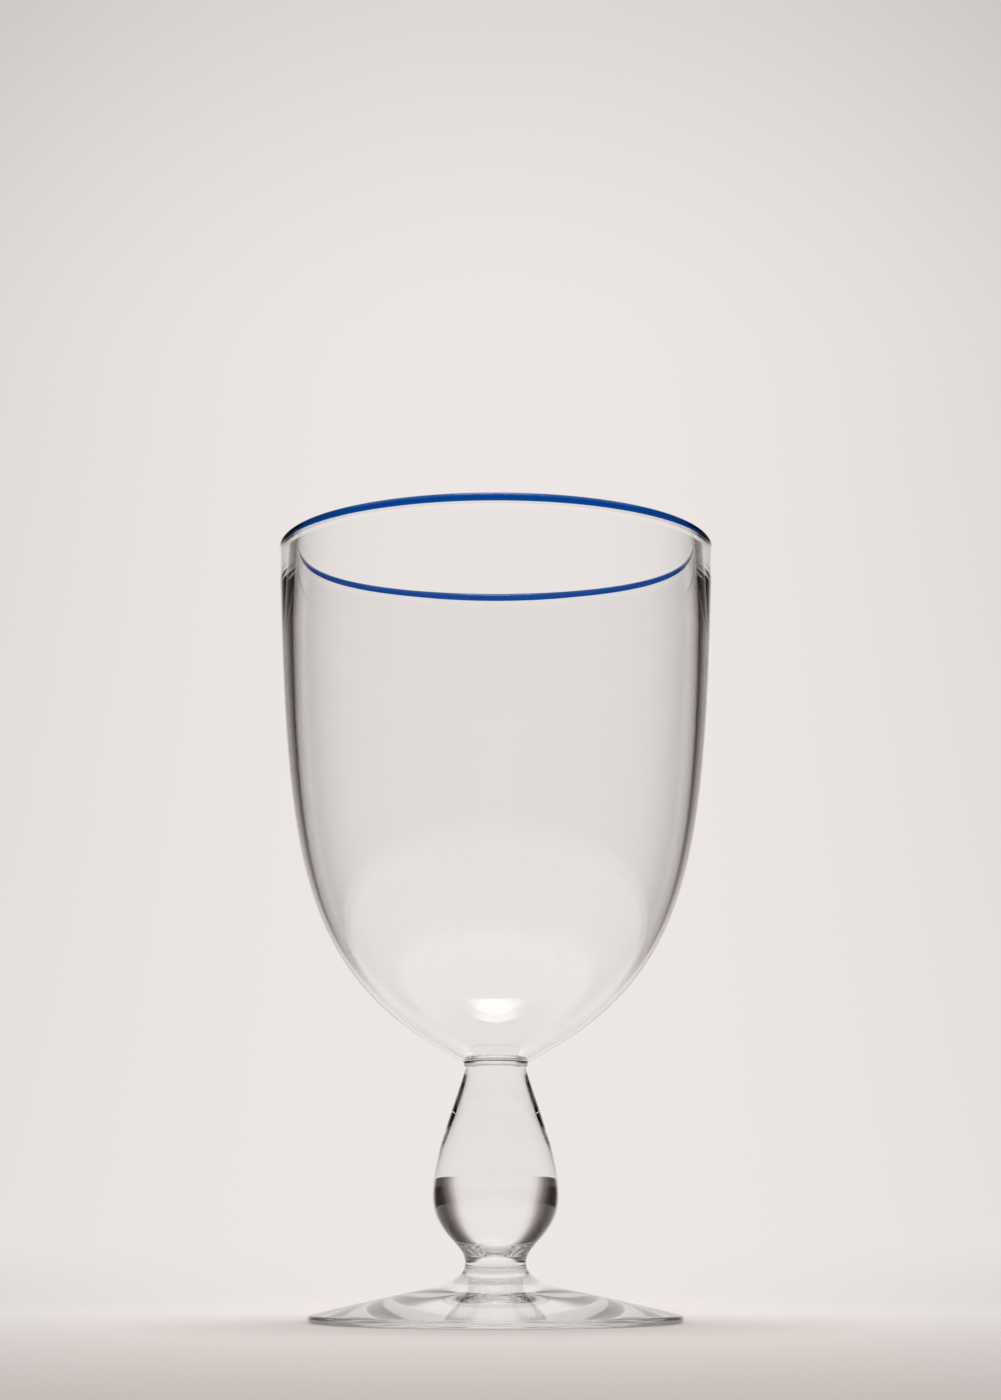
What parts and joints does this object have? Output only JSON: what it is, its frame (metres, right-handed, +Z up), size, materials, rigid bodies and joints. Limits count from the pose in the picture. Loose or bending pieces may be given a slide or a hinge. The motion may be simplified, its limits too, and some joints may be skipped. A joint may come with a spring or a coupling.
{
  "type": "stemmed drinking glass",
  "caption": "Clear stemmed drinking glass with a deep round-bottomed bowl, a thin blue glass rim, a solid baluster stem and a flat round foot.",
  "frame": {"origin": "centre of the foot's flat underside", "axes": "+Z up along the glass's own axis, from the foot to the mouth; turned shape, so X and Y are alike"},
  "size_m": [0.0864, 0.0864, 0.152],
  "materials": {
    "clear_glass": "clear, fire-polished",
    "blue_glass": "cobalt blue, fire-polished"
  },
  "bodies": {
    "root": {"foot": "clear_glass", "stem": "clear_glass", "collar": "clear_glass", "bowl": "clear_glass", "blue_rim": "blue_glass"}
  },
  "joints": []
}
